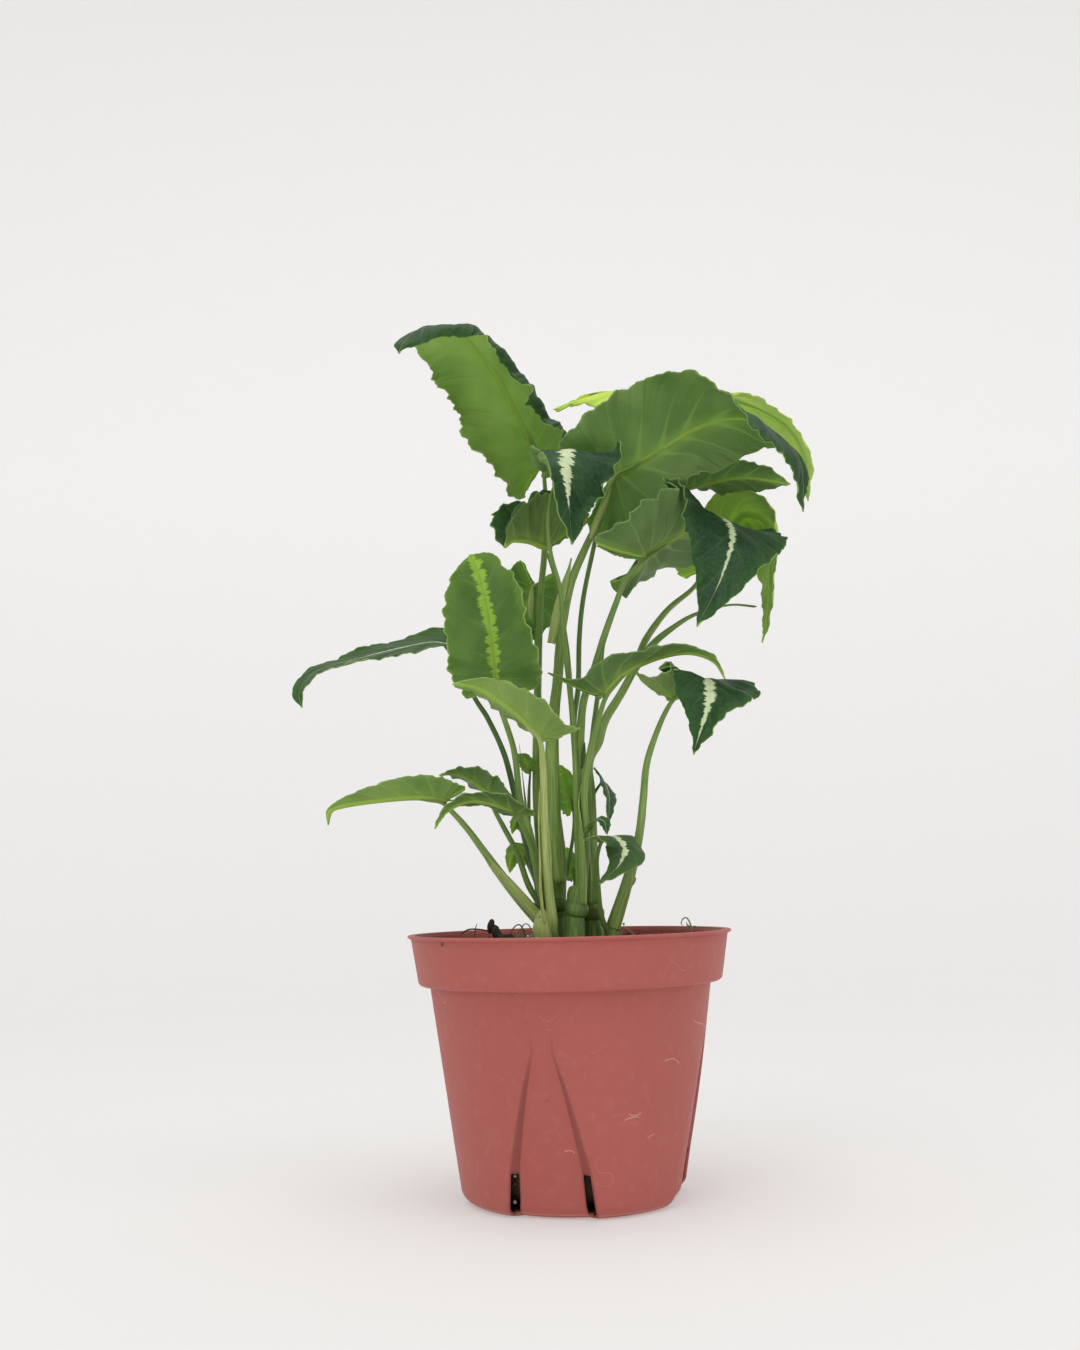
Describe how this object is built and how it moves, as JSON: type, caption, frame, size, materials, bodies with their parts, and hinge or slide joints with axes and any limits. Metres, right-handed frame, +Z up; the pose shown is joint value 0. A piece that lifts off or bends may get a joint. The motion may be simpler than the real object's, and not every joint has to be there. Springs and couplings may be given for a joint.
{
  "type": "potted arrowhead plant",
  "caption": "Arrowhead house plant with dark arrow shaped leaves and pale midribs on long stalks, standing in a round tapered nursery pot filled with soil.",
  "frame": {"origin": "centre of the pot's flat base", "axes": "+Z up along the pot's axis, -Y towards the side that the picture shows"},
  "size_m": [0.2, 0.12, 0.3217],
  "materials": {
    "pot": "terracotta rose moulded plastic, dusty and lightly scuffed",
    "soil": "damp dark potting mix with pale grains",
    "stalk": "fresh green leaf stalks with a soft sheen",
    "dark_leaf": "velvety dark green upper side with a pale midrib, lighter green below",
    "green_leaf": "mid green leaf, soft sheen",
    "bright_leaf": "young yellow green leaf that lets light through"
  },
  "bodies": {
    "root": {"pot": "pot", "soil": "soil", "shoot_left": "stalk", "shoot_middle": "stalk", "shoot_front": "stalk", "shoot_back": "stalk", "shoot_right": "stalk", "blade_top_left": "dark_leaf", "blade_top_right": "dark_leaf", "blade_middle_front": "dark_leaf", "blade_left_folded": "dark_leaf", "blade_bright_behind": "bright_leaf", "blade_right_small": "green_leaf", "blade_bright_right": "bright_leaf", "blade_right_front": "dark_leaf", "blade_left_upright": "green_leaf", "blade_left_long": "dark_leaf", "blade_left_pale": "green_leaf", "blade_right_spread": "dark_leaf", "blade_right_dark": "dark_leaf", "blade_low_left": "green_leaf", "blade_low_back": "dark_leaf", "blade_low_front": "dark_leaf", "blade_low_right": "dark_leaf", "blade_hidden_left": "dark_leaf", "leaflet_left_high": "dark_leaf", "leaflet_left_low": "dark_leaf", "leaflet_left_curled": "dark_leaf", "leaflet_between": "dark_leaf", "leaflet_right_hanging": "dark_leaf", "leaflet_behind": "dark_leaf", "leaflet_right_curl": "dark_leaf"}
  },
  "joints": []
}
